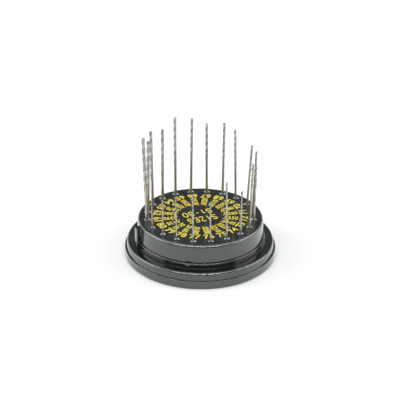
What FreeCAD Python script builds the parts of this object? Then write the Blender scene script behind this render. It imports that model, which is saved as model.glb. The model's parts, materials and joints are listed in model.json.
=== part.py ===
import FreeCAD, Part
import math
import os

# A round moulded stand that holds twenty wire gauge twist drills, points up, in one ring. The drum that holds
# them stands in a shoulder ring, the ring stands on a base cover, and one pressed stud keeps all three together.
# Millimetres. +Z is up. The origin is the centre of the base, on the table, and -Y is the front.
# Angles round the stand start at the front and grow to the right, so 90 degrees is +X.

Vector = FreeCAD.Vector
UP = Vector(0, 0, 1)

# Heights of the rings that stack up to the top face.
base_height = 2.55
flange_height = 2.3
lip_height = 1.7
groove_height = 0.6
drum_wall_height = 5.05

# Radii. The drum is set, and every other ring is set off from it.
drum_radius = 19.0
drum_draft = 0.3
groove_depth = 0.3
lip_reach = 0.25
shoulder_width = 4.05
base_step = 0.45
flange_draft = 0.3

# Walls of the mouldings.
plate_thickness = 1.8
flange_thickness = 1.4
shoulder_thickness = 1.2
base_floor_thickness = 1.5
base_foot_width = 2.6

# Rounded edges.
rim_round = 0.85
lip_round = 0.3
flange_round = 0.65
base_round = 0.4
joint_round = 0.15
inside_round = 0.3

# The ring of holes, countersunk on top, that run down through the thick wall of the drum.
hole_inset = 2.8
guide_thickness = 0.6
guide_gap = 0.4
bore_play = 0.25
countersink_width = 0.35
rub_gap = 0.03

# The drum's lip rests on a ledge in the shoulder ring, and a bevel opens round it.
ledge_width = 0.95
ledge_drop = 0.4
spigot_clearance = 0.06

# The joint between ring and cover: a locating collar. The drum's socket takes the cover's pressed stud.
collar_clearance = 0.06
collar_thickness = 1.2
collar_gap = 0.2
stud_radius = 1.8
socket_thickness = 1.4
socket_depth = 4.0
stud_end_gap = 0.3

# The key rib, let into a slot in the drum and a notch in the ring, which a lid slides over.
key_angle = -70.2
key_width = 2.2
key_depth = 0.8
key_reach = 1.6
key_drop = 0.7
key_round = 0.3

# The lid's detent on the lip, and the gate mark that the moulding leaves on the flange's edge.
detent_angle = -10.4
detent_width = 1.6
detent_above_lip = 0.35
detent_below_lip = 0.75
detent_reach = 0.35
detent_round = 0.15
gate_mark_angle = 5.3
gate_mark_radius = 0.5
gate_mark_depth = 0.2

# The drills.
number_below_front = 77
number_beside_front_angle = -6.9
foot_gap = 0.04
foot_chamfer = 0.05
point_angle = 118.0
flute_helix_angle = 28.0
flute_round_share = 0.36
web_share = 0.3

# Gauge number: diameter, overall length, flute length, and how much of the bore's play the drill leans
# through, from -1 for fully to the left to 1 for fully to the right, seen from the front.
drill_sizes = {
    61: (0.991, 36.9, 17.5, -0.8),
    62: (0.965, 33.5, 15.9, 0.2),
    63: (0.940, 34.5, 15.9, -0.4),
    64: (0.914, 33.4, 15.9, 0.0),
    65: (0.889, 36.1, 15.9, -0.2),
    66: (0.838, 35.0, 12.7, 0.1),
    67: (0.813, 33.2, 12.7, -0.3),
    68: (0.787, 34.0, 12.7, 0.1),
    69: (0.742, 33.1, 12.7, -0.6),
    70: (0.711, 29.8, 9.5, 1.0),
    71: (0.660, 30.1, 9.5, 0.5),
    72: (0.635, 28.0, 7.9, 0.3),
    73: (0.610, 30.6, 7.9, 0.4),
    74: (0.572, 23.8, 6.4, 0.2),
    75: (0.533, 28.3, 6.4, -0.4),
    76: (0.508, 22.7, 4.8, -0.4),
    77: (0.457, 25.0, 4.8, -0.4),
    78: (0.406, 23.5, 4.8, -0.5),
    79: (0.368, 21.0, 3.2, -0.2),
    80: (0.343, 20.0, 3.2, -0.5),
}

# Worked out from the values above.
base_radius = drum_radius + shoulder_width
flange_radius = base_radius - base_step
flange_top_radius = flange_radius - flange_draft
drum_foot_radius = drum_radius + drum_draft
lip_radius = drum_foot_radius + lip_reach
groove_radius = drum_foot_radius - groove_depth
spigot_radius = lip_radius - ledge_width
flange_inside = flange_radius - flange_thickness

flange_top = base_height + flange_height
lip_top = flange_top + lip_height
drum_foot = lip_top + groove_height
plate_top = drum_foot + drum_wall_height
plate_underside = plate_top - plate_thickness
shoulder_underside = flange_top - shoulder_thickness
ledge_height = flange_top - ledge_drop
guide_end = base_height + guide_gap

hole_circle = drum_radius - hole_inset
widest_bore = max(size[0] for size in drill_sizes.values()) / 2 + bore_play
guide_inside = hole_circle - widest_bore - guide_thickness
bore_middle = (plate_top + guide_end) / 2
bore_half_length = (plate_top - guide_end) / 2
most_lean = math.atan((bore_play - rub_gap) / bore_half_length)
hole_step = 360.0 / len(drill_sizes)

socket_top = guide_end + socket_depth
stud_top = socket_top - stud_end_gap
collar_radius = flange_inside - collar_clearance
collar_top = shoulder_underside - collar_gap
base_recess = base_height - base_floor_thickness


def around(radius, degrees, height=0.0):
    """The point at a radius and an angle from the front."""
    turn = math.radians(degrees)
    return Vector(radius * math.sin(turn), -radius * math.cos(turn), height)


def rounded_wire(corners, place):
    """A closed wire through corners of (across, along, round), each rounded by an arc."""
    edges = []
    ends = []
    count = len(corners)
    for index in range(count):
        across, along, round_radius = corners[index]
        here = Vector(across, along, 0)
        before = Vector(*corners[index - 1][:2], 0) - here
        after = Vector(*corners[(index + 1) % count][:2], 0) - here
        if round_radius == 0:
            ends.append((here, here, here))
            continue
        half = before.getAngle(after) / 2
        limit = 0.45 * min(before.Length, after.Length)
        reach = min(round_radius / math.tan(half), limit)
        radius = reach * math.tan(half)
        middle_way = (before.normalize() + after.normalize()).normalize()
        centre = here + middle_way * (radius / math.sin(half))
        ends.append((here + before * reach, centre - middle_way * radius, here + after * reach))
    for index in range(count):
        start, middle, finish = ends[index]
        if start != finish:
            edges.append(Part.Arc(place(start), place(middle), place(finish)).toShape())
        following = ends[(index + 1) % count][0]
        if (following - finish).Length > 1e-7:
            edges.append(Part.LineSegment(place(finish), place(following)).toShape())
    return Part.Wire(edges)


def turned(corners):
    """A solid of revolution from corners of (radius, height, round)."""
    wire = rounded_wire(corners, lambda point: Vector(point.x, 0, point.y))
    return Part.Face(wire).revolve(Vector(0, 0, 0), UP, 360)


def side_lug(angle, width, low, high, inner, outer, corner_round):
    """A block on the drum's side, rounded at its two outer upright edges."""
    outline = [
        (inner, -width / 2, 0),
        (outer, -width / 2, corner_round),
        (outer, width / 2, corner_round),
        (inner, width / 2, 0),
    ]
    wire = rounded_wire(outline, lambda point: Vector(point.x, point.y, low))
    lug = Part.Face(wire).extrude(Vector(0, 0, high - low))
    lug.rotate(Vector(0, 0, 0), UP, angle - 90)
    return lug


def hole_angle(number):
    """Gauge numbers grow clockwise seen from above, which is towards the left at the front."""
    return number_beside_front_angle - hole_step * (number - number_below_front)


def hole_point(number, height):
    return around(hole_circle, hole_angle(number), height)


def lean_direction(lean):
    """The direction of a drill's axis when it leans to the right by an angle in radians."""
    return Vector(math.sin(lean), 0, math.cos(lean))


def bore_radius(number):
    return drill_sizes[number][0] / 2 + bore_play


def key_block(play=0.0):
    """The key rib's shape, or the room for it with some play all round and above."""
    return side_lug(key_angle, key_width + 2 * play, ledge_height, plate_top - key_drop + play,
                    drum_radius - key_depth - play, drum_radius + key_reach + play, key_round)


def make_drum():
    """The top plate and the thick wall that guides the drills, with the lip round its foot and the detent."""
    body = turned([
        (0, plate_top, 0),
        (drum_radius, plate_top, rim_round),
        (drum_foot_radius, drum_foot, 0),
        (groove_radius, drum_foot, 0),
        (groove_radius, lip_top, 0),
        (lip_radius, lip_top, lip_round),
        (lip_radius, ledge_height, 0),
        (spigot_radius, ledge_height, 0),
        (spigot_radius, guide_end, inside_round),
        (guide_inside, guide_end, inside_round),
        (guide_inside, plate_underside, inside_round),
        (stud_radius + socket_thickness, plate_underside, inside_round),
        (stud_radius + socket_thickness, guide_end, 0),
        (stud_radius, guide_end, 0),
        (stud_radius, socket_top, 0),
        (0, socket_top, 0),
    ])
    detent = side_lug(detent_angle, detent_width, lip_top - detent_below_lip, lip_top + detent_above_lip,
                      spigot_radius, lip_radius + detent_reach, detent_round)
    removed = [key_block(rub_gap)]
    for number in drill_sizes:
        bore = bore_radius(number)
        below = hole_point(number, guide_end - 1)
        removed.append(Part.makeCylinder(bore, plate_top - guide_end + 2, below, UP))
        sink = hole_point(number, plate_top - countersink_width)
        removed.append(Part.makeCone(bore, bore + 2 * countersink_width, 2 * countersink_width, sink, UP))
    return body.fuse(detent).cut(removed)


def make_shoulder_ring():
    """The flange that a lid closes on, with the ledge for the drum's lip and the notch for the key rib."""
    ring = turned([
        (spigot_radius + spigot_clearance, ledge_height, 0),
        (lip_radius, ledge_height, 0),
        (lip_radius + ledge_drop, flange_top, 0),
        (flange_top_radius, flange_top, flange_round),
        (flange_radius, base_height, 0),
        (flange_inside, base_height, 0),
        (flange_inside, shoulder_underside, inside_round),
        (spigot_radius + spigot_clearance, shoulder_underside, 0),
    ])
    gate_radius = flange_top_radius + gate_mark_radius - gate_mark_depth
    gate_low = around(gate_radius, gate_mark_angle, flange_top - flange_round)
    gate_mark = Part.makeCylinder(gate_mark_radius, flange_round + 1, gate_low, UP)
    return ring.cut([key_block(rub_gap), gate_mark])


def make_base_cover():
    """The lower ring with the floor that the drills stand on, the locating collar and the stud."""
    return turned([
        (0, base_recess, 0),
        (base_radius - base_foot_width, base_recess, inside_round),
        (base_radius - base_foot_width, 0, 0),
        (base_radius, 0, base_round),
        (base_radius, base_height, joint_round),
        (collar_radius, base_height, 0),
        (collar_radius, collar_top, joint_round),
        (collar_radius - collar_thickness, collar_top, joint_round),
        (collar_radius - collar_thickness, base_height, 0),
        (stud_radius, base_height, 0),
        (stud_radius, stud_top, inside_round),
        (0, stud_top, 0),
    ])


def fluted_outline(diameter, height):
    """A drill's cross section: two lands on the full circle, and two round flutes cut into it."""
    radius = diameter / 2
    flute_round = diameter * flute_round_share
    flute_floor = diameter * web_share / 2
    flute_centre = flute_floor + flute_round
    land_cosine = (radius ** 2 + flute_centre ** 2 - flute_round ** 2) / (2 * radius * flute_centre)
    edge_angle = math.acos(land_cosine)

    def on_circle(turn):
        return Vector(radius * math.cos(turn), radius * math.sin(turn), height)

    edges = []
    for side in (0, math.pi):
        flute_middle = Vector(flute_floor * math.cos(side), 0, height)
        land_start = on_circle(side + edge_angle)
        land_finish = on_circle(side + math.pi - edge_angle)
        land = Part.Arc(land_start, on_circle(side + math.pi / 2), land_finish)
        flute = Part.Arc(on_circle(side - edge_angle), flute_middle, land_start)
        edges += [flute.toShape(), land.toShape()]
    return Part.Wire(edges)


def make_fluted_length(diameter, start, finish):
    """The fluted end: the cross section carried straight up while a helix beside it turns it."""
    pitch = math.pi * diameter / math.tan(math.radians(flute_helix_angle))
    helix = Part.makeHelix(pitch, finish - start, diameter)
    helix.translate(Vector(0, 0, start))
    axis = Part.Wire(Part.makeLine(Vector(0, 0, start), Vector(0, 0, finish)))
    sweep = Part.BRepOffsetAPI.MakePipeShell(axis)
    sweep.setAuxiliarySpine(Part.Wire(helix.Edges), True, 0)
    sweep.add(fluted_outline(diameter, start))
    sweep.build()
    sweep.makeSolid()
    return sweep.shape()


def make_drill(number):
    """One twist drill with its two flutes, standing on the base's floor and leaning in its bore."""
    diameter, length, flute_length, lean_share = drill_sizes[number]
    radius = diameter / 2
    point_slope = math.tan(math.radians(point_angle / 2))
    flute_start = length - flute_length
    shank = turned([
        (0, 0, 0),
        (radius - foot_chamfer, 0, 0),
        (radius, foot_chamfer, 0),
        (radius, flute_start, 0),
        (0, flute_start, 0),
    ])
    outside_point = turned([
        (0, length, 0),
        (diameter, length - diameter / point_slope, 0),
        (diameter, length + diameter, 0),
        (0, length + diameter, 0),
    ])
    fluted = make_fluted_length(diameter, flute_start, length)
    drill = shank.fuse(fluted.cut(outside_point))
    lean = lean_share * most_lean
    direction = lean_direction(lean)
    drill.rotate(Vector(0, 0, 0), Vector(0, 1, 0), math.degrees(lean))
    foot_height = base_height + foot_gap + radius * abs(math.sin(lean))
    down_axis = (bore_middle - foot_height) / math.cos(lean)
    drill.translate(hole_point(number, bore_middle) - direction * down_axis)
    return drill


def main():
    os.makedirs("parts", exist_ok=True)
    nodes = {
        "drum": make_drum(),
        "shoulder_ring": make_shoulder_ring(),
        "key_rib": key_block(),
        "base_cover": make_base_cover(),
    }
    for number in drill_sizes:
        nodes[f"drill_{number}"] = make_drill(number)
    for name, shape in nodes.items():
        print(name, "solids", len(shape.Solids), "volume", round(shape.Volume, 3), "valid", shape.isValid())
        shape.exportStep(f"parts/{name}.step")


main()
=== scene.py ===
import bpy
import bmesh
import json
import math
from mathutils import Matrix, Vector

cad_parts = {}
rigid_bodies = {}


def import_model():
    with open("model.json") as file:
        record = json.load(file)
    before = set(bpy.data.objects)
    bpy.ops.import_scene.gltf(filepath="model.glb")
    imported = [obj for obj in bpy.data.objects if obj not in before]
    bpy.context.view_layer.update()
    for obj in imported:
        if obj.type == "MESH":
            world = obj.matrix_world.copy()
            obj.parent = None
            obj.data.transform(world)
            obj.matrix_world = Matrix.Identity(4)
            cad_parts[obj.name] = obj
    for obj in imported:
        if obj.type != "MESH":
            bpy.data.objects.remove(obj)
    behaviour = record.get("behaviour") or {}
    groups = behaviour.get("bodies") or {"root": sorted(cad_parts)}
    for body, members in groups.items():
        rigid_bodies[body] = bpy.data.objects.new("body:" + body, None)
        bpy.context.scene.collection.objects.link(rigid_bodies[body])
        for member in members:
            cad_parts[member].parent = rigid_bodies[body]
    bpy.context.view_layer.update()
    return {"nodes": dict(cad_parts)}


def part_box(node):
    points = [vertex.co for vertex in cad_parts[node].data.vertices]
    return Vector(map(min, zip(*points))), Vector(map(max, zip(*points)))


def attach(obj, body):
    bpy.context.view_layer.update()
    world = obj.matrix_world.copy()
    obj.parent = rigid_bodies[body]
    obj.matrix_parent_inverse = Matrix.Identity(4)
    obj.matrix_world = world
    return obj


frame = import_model()
nodes = frame["nodes"]
mm = 0.001

mouldedNodes = ["drum", "shoulder_ring", "key_rib", "base_cover"]
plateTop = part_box("drum")[1].z
drillNames = sorted(name for name in nodes if name.startswith("drill_"))
print("frame loaded,", len(nodes), "nodes, top face", round(plateTop / mm, 2), "mm up")


# small helpers for shader and geometry nodes

def addNode(tree, kind, **settings):
    node = tree.nodes.new(kind)
    for key, value in settings.items():
        setattr(node, key, value)
    return node


def linkInto(tree, source, target):
    tree.links.new(source, target)


def setInputs(node, values):
    for key, value in values.items():
        node.inputs[key].default_value = value


def newMaterial(name):
    material = bpy.data.materials.new(name)
    material.use_nodes = True
    tree = material.node_tree
    tree.nodes.clear()
    output = addNode(tree, "ShaderNodeOutputMaterial")
    shader = addNode(tree, "ShaderNodeBsdfPrincipled")
    linkInto(tree, shader.outputs["BSDF"], output.inputs["Surface"])
    return material, shader


def objectCoords(tree, stretch=(1, 1, 1)):
    # object space is in metres, and the stretch makes a pattern finer along an axis
    coords = addNode(tree, "ShaderNodeTexCoord")
    mapping = addNode(tree, "ShaderNodeMapping")
    setInputs(mapping, {"Scale": stretch})
    linkInto(tree, coords.outputs["Object"], mapping.inputs["Vector"])
    return mapping.outputs["Vector"]


def noise(tree, vector, pattern):
    scale, detail, roughness = pattern
    node = addNode(tree, "ShaderNodeTexNoise")
    setInputs(node, {"Scale": scale, "Detail": detail, "Roughness": roughness})
    linkInto(tree, vector, node.inputs["Vector"])
    return node.outputs["Fac"]


def twoColours(tree, source, spread, first, second):
    # a ramp that turns from one colour to the other between the two values of the spread
    node = addNode(tree, "ShaderNodeValToRGB")
    for element, position, colour in zip(node.color_ramp.elements, spread, (first, second)):
        element.position = position
        element.color = colour
    linkInto(tree, source, node.inputs["Fac"])
    return node.outputs["Color"]


def mixColours(tree, factor, under, over):
    # colour sockets are found by type, because number and vector sockets share their names
    node = addNode(tree, "ShaderNodeMix", data_type="RGBA")
    linkInto(tree, factor, node.inputs["Factor"])
    colours = [socket for socket in node.inputs if socket.type == "RGBA"]
    linkInto(tree, under, colours[0])
    colours[1].default_value = over
    return [socket for socket in node.outputs if socket.type == "RGBA"][0]


def mapRange(tree, source, spread, newLow, newHigh):
    low, high = spread
    node = addNode(tree, "ShaderNodeMapRange")
    setInputs(node, {"From Min": low, "From Max": high, "To Min": newLow, "To Max": newHigh})
    linkInto(tree, source, node.inputs["Value"])
    return node.outputs["Result"]


def maths(tree, operation, *values):
    # each value is a number or another node's output
    node = addNode(tree, "ShaderNodeMath", operation=operation)
    for socket, value in zip(node.inputs, values):
        if isinstance(value, (int, float)):
            socket.default_value = value
        else:
            linkInto(tree, value, socket)
    return node.outputs[0]


def sumOf(tree, first, second):
    # first and second are each a pattern and its share
    parts = [maths(tree, "MULTIPLY", source, share) for source, share in (first, second)]
    return maths(tree, "ADD", *parts)


def bumpFrom(tree, shader, height, strength, distance):
    node = addNode(tree, "ShaderNodeBump")
    setInputs(node, {"Strength": strength, "Distance": distance})
    linkInto(tree, height, node.inputs["Height"])
    linkInto(tree, node.outputs["Normal"], shader.inputs["Normal"])


# black moulded plastic

blackPlastic = {
    "baseDark": (0.003, 0.005, 0.004, 1),
    "baseLight": (0.007, 0.011, 0.009, 1),
    "baseSpread": (0.35, 0.7),           # where the cloud turns from dark to light
    "cloud": (260, 4, 0.6),              # scale, detail and roughness, as in the other patterns below
    "scuffs": (700, 5, 0.65),
    "scuffStretch": (1, 1, 14),          # scuffs and mould marks run round the axis
    "cloudShare": 0.6,
    "scuffShare": 0.4,
    "wearSpread": (0.35, 0.65),
    "roughLow": 0.19,
    "roughHigh": 0.31,
    "specks": (4200, 1, 0.4),
    "dustFrom": 0.74,
    "dustFull": 0.79,
    "dustRoughness": 0.45,
    "paintedEdgeHighlight": (0.50, 0.52, 0.51, 1),     # painted highlight, pale, on the rounded edges and the countersinks round the drills
    "edgeSlope": 0.707,                  # upward part of the normal half way round an edge
    "edgeReach": 0.09,
    "highlightPatches": (900, 3, 0.6),
    "highlightPatchSpread": (0.35, 0.6),
    "highlightPatchLeast": 0.35,                  # how much of the painted highlight is left in its weakest patches
    "peel": (1400, 2, 0.5),              # moulding texture, about 0.7 mm between bumps
    "peelScuffs": 0.35,
    "peelStrength": 0.6,
    "peelHeight": 0.004 * mm,
    "sheenTint": (0.86, 1.0, 0.92, 1),
    "bodyIor": 1.42,
    "skinGloss": 0.035,                  # the shiny outer skin over a duller body
    "skinIor": 1.8,
}


def makeBlackPlastic(look):
    material, shader = newMaterial("blackMouldedPlastic")
    tree = material.node_tree
    plain = objectCoords(tree)
    cloud = noise(tree, plain, look["cloud"])
    clean = twoColours(tree, cloud, look["baseSpread"], look["baseDark"], look["baseLight"])
    # painted highlight: edges are found by the slope of the surface, so the painted highlight stays put
    # from every side
    surface = addNode(tree, "ShaderNodeNewGeometry")
    facing = addNode(tree, "ShaderNodeSeparateXYZ")
    linkInto(tree, surface.outputs["Normal"], facing.inputs["Vector"])
    offSlope = maths(tree, "ABSOLUTE", maths(tree, "SUBTRACT", facing.outputs["Z"], look["edgeSlope"]))
    highlightBand = mapRange(tree, offSlope, (0, look["edgeReach"]), 1, 0)
    highlightPatches = noise(tree, plain, look["highlightPatches"])
    strength = mapRange(tree, highlightPatches, look["highlightPatchSpread"], look["highlightPatchLeast"], 1)
    paintedHighlightMask = maths(tree, "MULTIPLY", highlightBand, strength)
    # the pale colour mixed in along the edges is a painted highlight
    linkInto(tree, mixColours(tree, paintedHighlightMask, clean, look["paintedEdgeHighlight"]), shader.inputs["Base Color"])
    scuffs = noise(tree, objectCoords(tree, look["scuffStretch"]), look["scuffs"])
    wear = sumOf(tree, (cloud, look["cloudShare"]), (scuffs, look["scuffShare"]))
    rough = mapRange(tree, wear, look["wearSpread"], look["roughLow"], look["roughHigh"])
    specks = noise(tree, plain, look["specks"])
    dusty = mapRange(tree, specks, (look["dustFrom"], look["dustFull"]), 0, look["dustRoughness"])
    linkInto(tree, maths(tree, "ADD", rough, dusty), shader.inputs["Roughness"])
    relief = sumOf(tree, (noise(tree, plain, look["peel"]), 1), (scuffs, look["peelScuffs"]))
    bumpFrom(tree, shader, relief, look["peelStrength"], look["peelHeight"])
    setInputs(shader, {
        "IOR": look["bodyIor"],
        "Specular Tint": look["sheenTint"],
        "Coat Weight": 1,
        "Coat Roughness": look["skinGloss"],
        "Coat IOR": look["skinIor"],
    })
    return material


# ground high speed steel

drillSteel = {
    "bright": (0.60, 0.575, 0.535, 1),
    "dull": (0.29, 0.275, 0.25, 1),
    "dullSpread": (0.36, 0.6),
    "grinding": (900, 4, 0.7),
    "grindStretch": (1, 1, 9),    # grinding lines run round the drill, so they are close together along it
    "stains": (330, 3, 0.6),
    "grindShare": 0.55,
    "stainShare": 0.45,
    "paintedFluteShade": (0.028, 0.026, 0.022, 1),    # painted shade: the flutes are darkened where the steel shades itself
    "fluteDepth": 0.35 * mm,                   # reach of the shading that finds them
    "fluteSamples": 8,
    "fluteSpread": (0.5, 0.93),
    "roughSpread": (0.35, 0.65),
    "roughLow": 0.18,
    "roughHigh": 0.38,
    "grindStrength": 0.5,
    "grindHeight": 0.004 * mm,
}


def makeDrillSteel(look):
    material, shader = newMaterial("groundDrillSteel")
    tree = material.node_tree
    lines = noise(tree, objectCoords(tree, look["grindStretch"]), look["grinding"])
    stains = noise(tree, objectCoords(tree), look["stains"])
    finish = sumOf(tree, (lines, look["grindShare"]), (stains, look["stainShare"]))
    ground = twoColours(tree, finish, look["dullSpread"], look["dull"], look["bright"])
    # painted shade in the flutes, found by an occlusion test against nearby steel
    hollow = addNode(tree, "ShaderNodeAmbientOcclusion", samples=look["fluteSamples"])
    setInputs(hollow, {"Distance": look["fluteDepth"]})
    fluteShadeMask = mapRange(tree, hollow.outputs["AO"], look["fluteSpread"], 1, 0)
    linkInto(tree, mixColours(tree, fluteShadeMask, ground, look["paintedFluteShade"]), shader.inputs["Base Color"])
    rough = mapRange(tree, finish, look["roughSpread"], look["roughHigh"], look["roughLow"])
    linkInto(tree, rough, shader.inputs["Roughness"])
    bumpFrom(tree, shader, lines, look["grindStrength"], look["grindHeight"])
    setInputs(shader, {"Metallic": 1})
    return material


# gold foil of the legend

legendGold = {
    "bright": (1.0, 0.84, 0.12, 1),
    "worn": (0.80, 0.60, 0.03, 1),
    "rub": (1500, 4, 0.65),
    "wornSpread": (0.38, 0.52),
    "roughSpread": (0.35, 0.6),
    "roughLow": 0.30,
    "roughHigh": 0.55,
    "crinkle": (3800, 3, 0.6),
    "crinkleStrength": 0.7,
    "crinkleHeight": 0.01 * mm,
    "metallic": 0.35,
}


def makeLegendGold(look):
    material, shader = newMaterial("stampedGoldFoil")
    tree = material.node_tree
    plain = objectCoords(tree)
    rub = noise(tree, plain, look["rub"])
    linkInto(tree, twoColours(tree, rub, look["wornSpread"], look["worn"], look["bright"]),
             shader.inputs["Base Color"])
    rough = mapRange(tree, rub, look["roughSpread"], look["roughHigh"], look["roughLow"])
    linkInto(tree, rough, shader.inputs["Roughness"])
    crinkle = noise(tree, plain, look["crinkle"])
    bumpFrom(tree, shader, crinkle, look["crinkleStrength"], look["crinkleHeight"])
    setInputs(shader, {"Metallic": look["metallic"]})
    return material


plasticFinish = makeBlackPlastic(blackPlastic)
steelFinish = makeDrillSteel(drillSteel)
goldFinish = makeLegendGold(legendGold)


def dress(node, material):
    mesh = nodes[node].data
    mesh.materials.clear()
    mesh.materials.append(material)


for name in mouldedNodes:
    dress(name, plasticFinish)
for name in drillNames:
    dress(name, steelFinish)
print("finishes made and given to the moulded and ground parts")


# the size legend: two rings of labels, with two lines of wording inside them

legend = {
    "foilHeight": 0.07 * mm,      # how far the foil stands above the face
    "sinkIn": 0.02 * mm,          # the labels start this far under the face
    "labelCount": 20,
    "firstNumber": 61,
    "numberRadius": 13.2 * mm,
    "numberHeight": 2.4 * mm,
    "numberWidth": 1.0,           # share of the font's own width
    "numberWeight": 0.014,        # how much its strokes are thickened, in font sizes
    "decimalRadius": 9.2 * mm,
    "decimalHeight": 1.85 * mm,
    "decimalWidth": 0.84,
    "decimalWeight": 0.012,
    "curveSteps": 3,
    "weldReach": 0.002 * mm,      # outline points nearer than this are merged
    "flatAngle": 0.01,            # outline edges that turn by less than this, in radians, are joined up
    "footReach": 0.3 * mm,        # how much of a drill's foot is used to find its place
}
# wire gauge drill diameters in ten-thousandths of an inch, from number 61 on
gaugeDecimals = [390, 380, 370, 360, 350, 330, 320, 310, 292, 280,
                 260, 250, 240, 225, 210, 200, 180, 160, 145, 135]


def holeAngle(name):
    # angle of a drill round the stand, from +X, taken at the drill's foot
    mesh = nodes[name].data
    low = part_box(name)[0].z
    foot = [v.co for v in mesh.vertices if v.co.z < low + legend["footReach"]]
    centre = sum(foot, Vector()) / len(foot)
    return math.atan2(centre.y, centre.x)


def labelMesh(name, words, height, width, weight):
    curve = bpy.data.curves.new(name, "FONT")
    curve.body = words
    curve.size = 1
    curve.align_x = "CENTER"
    curve.align_y = "CENTER"
    curve.offset = weight
    curve.resolution_u = legend["curveSteps"]
    textObject = bpy.data.objects.new(name, curve)
    bpy.context.scene.collection.objects.link(textObject)
    bpy.context.view_layer.update()
    evaluated = textObject.evaluated_get(bpy.context.evaluated_depsgraph_get())
    flat = bpy.data.meshes.new_from_object(evaluated)
    bpy.data.objects.remove(textObject)
    low = [min(v.co[axis] for v in flat.vertices) for axis in (0, 1)]
    high = [max(v.co[axis] for v in flat.vertices) for axis in (0, 1)]
    middle = Vector(((low[0] + high[0]) / 2, (low[1] + high[1]) / 2, 0))
    grow = height / (high[1] - low[1])
    flat.transform(Matrix.Diagonal((grow * width, grow, 1, 1)) @ Matrix.Translation(-middle))
    solid = bmesh.new()
    solid.from_mesh(flat)
    bmesh.ops.remove_doubles(solid, verts=solid.verts, dist=legend["weldReach"])
    bmesh.ops.dissolve_limit(solid, angle_limit=legend["flatAngle"], verts=solid.verts, edges=solid.edges)
    raised = bmesh.ops.extrude_face_region(solid, geom=solid.faces[:])
    top = [item for item in raised["geom"] if isinstance(item, bmesh.types.BMVert)]
    bmesh.ops.translate(solid, verts=top, vec=(0, 0, legend["foilHeight"] + legend["sinkIn"]))
    bmesh.ops.recalc_face_normals(solid, faces=solid.faces)
    bmesh.ops.triangulate(solid, faces=solid.faces)
    solid.to_mesh(flat)
    solid.free()
    return flat


def labelCollection(name, words, height, width, weight):
    collection = bpy.data.collections.new(name)
    bpy.context.scene.collection.children.link(collection)
    for index, word in enumerate(words):
        partName = f"{name}{index:02d}"
        mesh = labelMesh(partName, word, height, width, weight)
        collection.objects.link(bpy.data.objects.new(partName, mesh))
    return collection


def newGeometryTree(name, inputs):
    tree = bpy.data.node_groups.new(name, "GeometryNodeTree")
    for label, kind in inputs.items():
        tree.interface.new_socket(label, in_out="INPUT", socket_type="NodeSocket" + kind)
    tree.interface.new_socket("Geometry", in_out="OUTPUT", socket_type="NodeSocketGeometry")
    given = addNode(tree, "NodeGroupInput")
    result = addNode(tree, "NodeGroupOutput")
    return tree, given.outputs, result.inputs


def finishTree(tree, geometry, given, result):
    # makes any instances real and gives the result its material
    solid = addNode(tree, "GeometryNodeRealizeInstances")
    finish = addNode(tree, "GeometryNodeSetMaterial")
    linkInto(tree, geometry, solid.inputs[0])
    linkInto(tree, solid.outputs[0], finish.inputs["Geometry"])
    linkInto(tree, given["Finish"], finish.inputs["Material"])
    linkInto(tree, finish.outputs[0], result[0])


def makeRingTree():
    # puts each label of a collection at its own place round a circle, turned to suit
    tree, given, result = newGeometryTree("labelRing", {
        "Labels": "Collection",
        "Count": "Int",
        "Radius": "Float",
        "First Angle": "Float",
        "Angle Step": "Float",
        "Label Turn": "Float",
        "Height": "Float",
        "Finish": "Material",
    })
    index = addNode(tree, "GeometryNodeInputIndex").outputs[0]
    turn = maths(tree, "MULTIPLY_ADD", index, given["Angle Step"], given["First Angle"])
    spot = addNode(tree, "ShaderNodeCombineXYZ")
    for operation, axis in (("COSINE", "X"), ("SINE", "Y")):
        reach = maths(tree, "MULTIPLY", maths(tree, operation, turn), given["Radius"])
        linkInto(tree, reach, spot.inputs[axis])
    linkInto(tree, given["Height"], spot.inputs["Z"])
    points = addNode(tree, "GeometryNodePoints")
    linkInto(tree, given["Count"], points.inputs["Count"])
    linkInto(tree, spot.outputs[0], points.inputs["Position"])
    spin = addNode(tree, "ShaderNodeCombineXYZ")
    linkInto(tree, maths(tree, "ADD", turn, given["Label Turn"]), spin.inputs["Z"])
    labels = addNode(tree, "GeometryNodeCollectionInfo")
    setInputs(labels, {"Separate Children": True, "Reset Children": True})
    linkInto(tree, given["Labels"], labels.inputs["Collection"])
    place = addNode(tree, "GeometryNodeInstanceOnPoints")
    setInputs(place, {"Pick Instance": True})
    linkInto(tree, points.outputs[0], place.inputs["Points"])
    linkInto(tree, labels.outputs[0], place.inputs["Instance"])
    linkInto(tree, index, place.inputs["Instance Index"])
    linkInto(tree, spin.outputs[0], place.inputs["Rotation"])
    finishTree(tree, place.outputs[0], given, result)
    return tree


def runTree(name, tree, inputs, startMesh=None):
    # runs a node tree on an object and gives back a plain object with the result as its mesh
    carrier = bpy.data.objects.new(name + "Carrier", startMesh or bpy.data.meshes.new(name + "Start"))
    bpy.context.scene.collection.objects.link(carrier)
    modifier = carrier.modifiers.new("nodes", "NODES")
    modifier.node_group = tree
    sockets = {item.name: item.identifier for item in tree.interface.items_tree if item.in_out == "INPUT"}
    for label, value in inputs.items():
        modifier[sockets[label]] = value
    bpy.context.view_layer.update()
    evaluated = carrier.evaluated_get(bpy.context.evaluated_depsgraph_get())
    mesh = bpy.data.meshes.new_from_object(evaluated)
    mesh.name = name
    bpy.data.objects.remove(carrier)
    piece = bpy.data.objects.new(name, mesh)
    bpy.context.scene.collection.objects.link(piece)
    return piece


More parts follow.
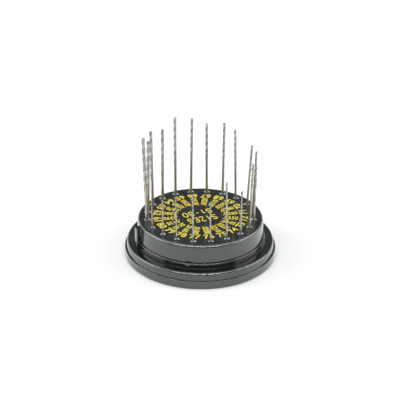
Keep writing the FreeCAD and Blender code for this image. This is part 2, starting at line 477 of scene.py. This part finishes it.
ringTree = makeRingTree()
numberWords = [str(legend["firstNumber"] + index) for index in range(legend["labelCount"])]
decimalWords = [f".0{value}" for value in gaugeDecimals]
numberLabels = labelCollection("gaugeNumber", numberWords, legend["numberHeight"],
                               legend["numberWidth"], legend["numberWeight"])
decimalLabels = labelCollection("gaugeDecimal", decimalWords, legend["decimalHeight"],
                                legend["decimalWidth"], legend["decimalWeight"])
ringInputs = {
    "Count": legend["labelCount"],
    "First Angle": holeAngle("drill_61"),
    "Angle Step": -2 * math.pi / legend["labelCount"],    # clockwise as seen from above
    "Height": plateTop - legend["sinkIn"],
    "Finish": goldFinish,
}
numberRing = runTree("gaugeNumbers", ringTree, {
    **ringInputs, "Labels": numberLabels, "Radius": legend["numberRadius"], "Label Turn": math.pi / 2})
decimalRing = runTree("gaugeDecimals", ringTree, {
    **ringInputs, "Labels": decimalLabels, "Radius": legend["decimalRadius"], "Label Turn": 0.0})
for collection in (numberLabels, decimalLabels):
    for item in list(collection.objects):
        bpy.data.objects.remove(item)
    bpy.data.collections.remove(collection)
print("label rings made,", len(numberRing.data.polygons) + len(decimalRing.data.polygons), "faces")


# centre wording, drawn with one thin stroke as an engraver would

wording = {
    "lines": ("SIZES", "61-80"),
    "letterHeight": 2.7 * mm,
    "letterWidth": 1.35 * mm,
    "letterPitch": 1.95 * mm,
    "linePitch": 4.1 * mm,
    "middle": (-0.2 * mm, -0.1 * mm),
    "strokeWidth": 0.36 * mm,
    "strokeHeight": 0.09 * mm,    # half of it stands above the face
    "cornerSteps": 3,
    "tilt": math.radians(203.5),
}
# each stroke is a run of points on a letter box 1 wide and 1 tall
strokes = {
    "S": [[(1, 0.85), (0.7, 1), (0.3, 1), (0, 0.8), (0.15, 0.57),
           (0.85, 0.43), (1, 0.2), (0.7, 0), (0.3, 0), (0, 0.15)]],
    "I": [[(0.5, 0), (0.5, 1)]],
    "Z": [[(0, 1), (1, 1), (0, 0), (1, 0)]],
    "E": [[(1, 1), (0, 1), (0, 0), (1, 0)], [(0, 0.52), (0.75, 0.52)]],
    "6": [[(0.95, 0.85), (0.65, 1), (0.35, 1), (0, 0.65), (0, 0.25), (0.3, 0),
           (0.7, 0), (1, 0.25), (0.75, 0.55), (0.3, 0.55), (0, 0.35)]],
    "1": [[(0.2, 0.75), (0.55, 1), (0.55, 0)]],
    "-": [[(0.15, 0.5), (0.85, 0.5)]],
    "8": [[(0.3, 0.53), (0.05, 0.75), (0.3, 1), (0.7, 1), (0.95, 0.75), (0.7, 0.53),
           (0.3, 0.53), (0, 0.27), (0.3, 0), (0.7, 0), (1, 0.27), (0.7, 0.53)]],
    "0": [[(0.35, 0), (0, 0.3), (0, 0.7), (0.35, 1), (0.65, 1),
           (1, 0.7), (1, 0.3), (0.65, 0), (0.35, 0)]],
}


def letterPlaces():
    # each letter of the wording with the lower left corner of its box
    rows = wording["lines"]
    for row, word in enumerate(rows):
        base = ((len(rows) - 1) / 2 - row) * wording["linePitch"] - wording["letterHeight"] / 2
        for column, letter in enumerate(word):
            middle = (column - (len(word) - 1) / 2) * wording["letterPitch"]
            yield letter, middle - wording["letterWidth"] / 2, base


def wordingMesh():
    # edges only: the node tree gives them their width
    lines = bmesh.new()
    turn = Matrix.Rotation(wording["tilt"], 4, "Z")
    middle = Vector((*wording["middle"], plateTop))
    for letter, left, base in letterPlaces():
        for stroke in strokes[letter]:
            before = None
            for across, up in stroke:
                x = left + across * wording["letterWidth"]
                y = base + up * wording["letterHeight"]
                here = lines.verts.new(turn @ Vector((x, y, 0)) + middle)
                if before:
                    lines.edges.new((before, here))
                before = here
    mesh = bpy.data.meshes.new("wordingLines")
    lines.to_mesh(mesh)
    lines.free()
    return mesh


def makeStrokeTree():
    # sweeps a flat section along the edges, with their corners rounded
    tree, given, result = newGeometryTree("strokeLettering", {
        "Geometry": "Geometry",
        "Stroke Width": "Float",
        "Stroke Height": "Float",
        "Finish": "Material",
    })
    toCurve = addNode(tree, "GeometryNodeMeshToCurve")
    linkInto(tree, given["Geometry"], toCurve.inputs[0])
    soften = addNode(tree, "GeometryNodeFilletCurve", mode="POLY")
    setInputs(soften, {"Count": wording["cornerSteps"], "Limit Radius": True})
    linkInto(tree, toCurve.outputs[0], soften.inputs["Curve"])
    linkInto(tree, given["Stroke Width"], soften.inputs["Radius"])
    upright = addNode(tree, "GeometryNodeSetCurveNormal", mode="Z_UP")
    linkInto(tree, soften.outputs[0], upright.inputs["Curve"])
    section = addNode(tree, "GeometryNodeCurvePrimitiveQuadrilateral")
    linkInto(tree, given["Stroke Width"], section.inputs["Width"])
    linkInto(tree, given["Stroke Height"], section.inputs["Height"])
    sweep = addNode(tree, "GeometryNodeCurveToMesh")
    setInputs(sweep, {"Fill Caps": True})
    linkInto(tree, upright.outputs[0], sweep.inputs["Curve"])
    linkInto(tree, section.outputs[0], sweep.inputs["Profile Curve"])
    finishTree(tree, sweep.outputs[0], given, result)
    return tree


centreWording = runTree("centreWording", makeStrokeTree(), {
    "Stroke Width": wording["strokeWidth"],
    "Stroke Height": wording["strokeHeight"],
    "Finish": goldFinish,
}, wordingMesh())
print("centre wording made,", len(centreWording.data.polygons), "faces")

for piece in (numberRing, decimalRing, centreWording):
    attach(piece, "stand")


# floor, light and camera

studio = {
    "floorSize": 4.3,                       # it ends where the side panels stop lighting it
    "floorColour": (0.93, 0.94, 0.95, 1),
    "floorRoughness": 0.6,
    "wallGlow": (0.95, 0.97, 1.0, 1),       # the pale studio wall behind, low down
    "dimAbove": (0.125, 0.128, 0.132, 1),   # the unlit room above it
    "wallFade": (0.16, 0.30),               # sines of the heights between which the wall fades out
}
aboveStand = (0, 0, 0.04)
# places and sizes (width, height) are in metres, power is in watts
softboxes = {
    "overhead": {"place": (0, 0.68, 2.48), "aim": (0, 0.6, 0), "size": (2.64, 3.12), "power": 33},
    "leftPanel": {"place": (-1.68, 0.08, 0.88), "aim": aboveStand, "size": (1.6, 1.6), "power": 16},
    "rightPanel": {"place": (1.68, 0.08, 0.88), "aim": aboveStand, "size": (1.6, 1.6), "power": 14},
    "frontStrip": {"place": (-0.12, -1.28, 2.24), "aim": aboveStand, "size": (3.2, 0.34), "power": 34},
}


def makeFloor():
    half = studio["floorSize"] / 2
    corners = [(-half, -half, 0), (half, -half, 0), (half, half, 0), (-half, half, 0)]
    mesh = bpy.data.meshes.new("floor")
    mesh.from_pydata(corners, [], [(0, 1, 2, 3)])
    floor = bpy.data.objects.new("floor", mesh)
    bpy.context.scene.collection.objects.link(floor)
    material, shader = newMaterial("paleFloor")
    setInputs(shader, {"Base Color": studio["floorColour"], "Roughness": studio["floorRoughness"]})
    mesh.materials.append(material)


def makeRoom():
    world = bpy.data.worlds.new("studioWorld")
    bpy.context.scene.world = world
    world.use_nodes = True
    tree = world.node_tree
    outlook = addNode(tree, "ShaderNodeTexCoord")
    heights = addNode(tree, "ShaderNodeSeparateXYZ")
    linkInto(tree, outlook.outputs["Object"], heights.inputs["Vector"])
    fade = mapRange(tree, heights.outputs["Z"], studio["wallFade"], 0, 1)
    roomColour = twoColours(tree, fade, (0, 1), studio["wallGlow"], studio["dimAbove"])
    linkInto(tree, roomColour, tree.nodes["Background"].inputs["Color"])


def makeSoftbox(name, box):
    light = bpy.data.lights.new(name, "AREA")
    light.shape = "RECTANGLE"
    light.size, light.size_y = box["size"]
    light.energy = box["power"]
    lamp = bpy.data.objects.new(name, light)
    lamp.location = box["place"]
    lamp.rotation_euler = (Vector(box["aim"]) - Vector(box["place"])).to_track_quat("-Z", "Y").to_euler()
    bpy.context.scene.collection.objects.link(lamp)


makeFloor()
makeRoom()
for name, box in softboxes.items():
    makeSoftbox(name, box)

view = {
    "distance": 0.4067,
    "elevation": math.radians(28.09),
    "lookUp": math.radians(0.675),   # the stand sits a little below the middle of the frame
    "lookLeft": math.radians(0.033),
    "roll": math.radians(0.69),
    "lens": 120.5,
    "sensor": 36,
    "nearest": 10 * mm,
}


def makeCamera():
    cameraData = bpy.data.cameras.new("camera")
    cameraData.lens = view["lens"]
    cameraData.sensor_width = view["sensor"]
    cameraData.clip_start = view["nearest"]
    camera = bpy.data.objects.new("camera", cameraData)
    bpy.context.scene.collection.objects.link(camera)
    away = Vector((0, -math.cos(view["elevation"]), math.sin(view["elevation"])))
    place = Matrix.Translation(Vector((0, 0, plateTop)) + away * view["distance"])
    pitch = math.pi / 2 - view["elevation"] + view["lookUp"]
    turn = Matrix.Rotation(view["lookLeft"], 4, "Z") @ Matrix.Rotation(pitch, 4, "X")
    camera.matrix_world = place @ turn @ Matrix.Rotation(view["roll"], 4, "Z")
    bpy.context.scene.camera = camera


makeCamera()
bpy.context.scene.view_settings.view_transform = "Standard"
print("studio and camera placed")
